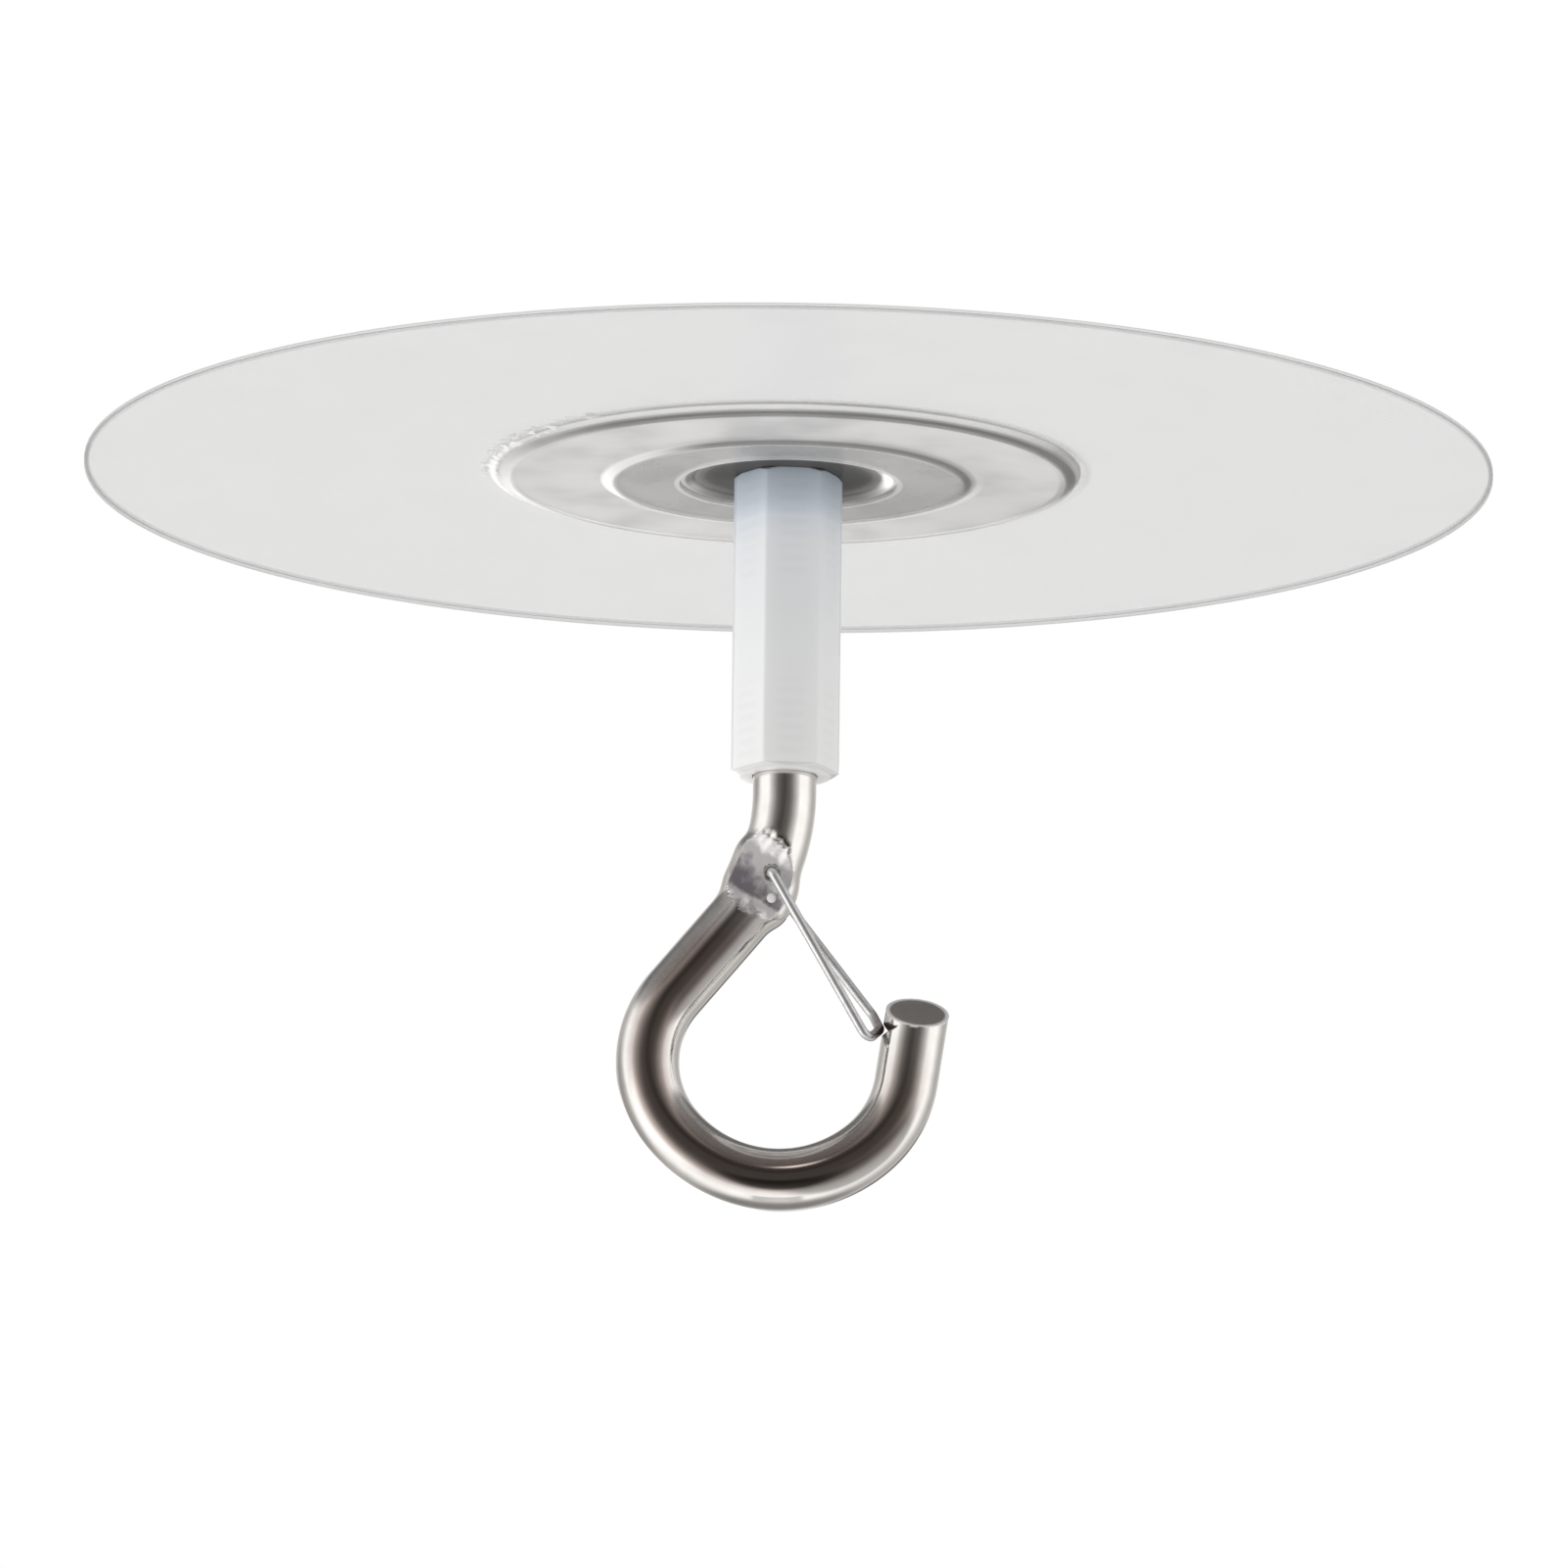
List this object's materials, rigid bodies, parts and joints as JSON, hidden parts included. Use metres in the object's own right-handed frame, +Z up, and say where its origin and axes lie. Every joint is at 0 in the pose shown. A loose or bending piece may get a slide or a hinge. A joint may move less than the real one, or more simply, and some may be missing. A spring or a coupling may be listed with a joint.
{
  "type": "adhesive ceiling hook",
  "caption": "Self-adhesive ceiling hook: clear round film disc with a steel plate, hexagonal nylon coupler, and a bent rod hook closed by a sprung wire gate.",
  "frame": {"origin": "centre of the adhesive face that sticks to the ceiling", "axes": "+Z up into the ceiling, hook hanging along -Z, +X towards the hook's mouth, front of the hook facing -Y"},
  "size_m": [0.08, 0.08, 0.0434],
  "materials": {
    "clear_adhesive": "clear, sticky",
    "pressed_steel": "pressed stainless sheet, satin",
    "clear_film": "clear, faintly frosted",
    "stud_steel": "rolled thread, plain",
    "white_nylon": "milky, slightly translucent",
    "polished_steel": "polished stainless rod",
    "spring_wire": "bright drawn spring wire"
  },
  "bodies": {
    "base": {"adhesive_layer": "clear_adhesive", "base_plate": "pressed_steel", "cover_film": "clear_film", "stud": "stud_steel", "coupler": "white_nylon"},
    "hook": {"hook": "polished_steel"},
    "gate": {"gate": "spring_wire"}
  },
  "joints": [
    {"name": "hook_turn", "type": "hinge", "parent": "base", "child": "hook", "pos_m": [0, 0, -0.0155], "axis": [0, 0, 1], "range_deg": [-180, 180]},
    {"name": "gate_pivot", "type": "hinge", "parent": "hook", "child": "gate", "pos_m": [-0.00067, 0, -0.02398], "axis": [0, 1, 0], "range_deg": [0, 33], "stiffness_Nm_per_rad": 0.01, "springref_deg": -34.38}
  ]
}
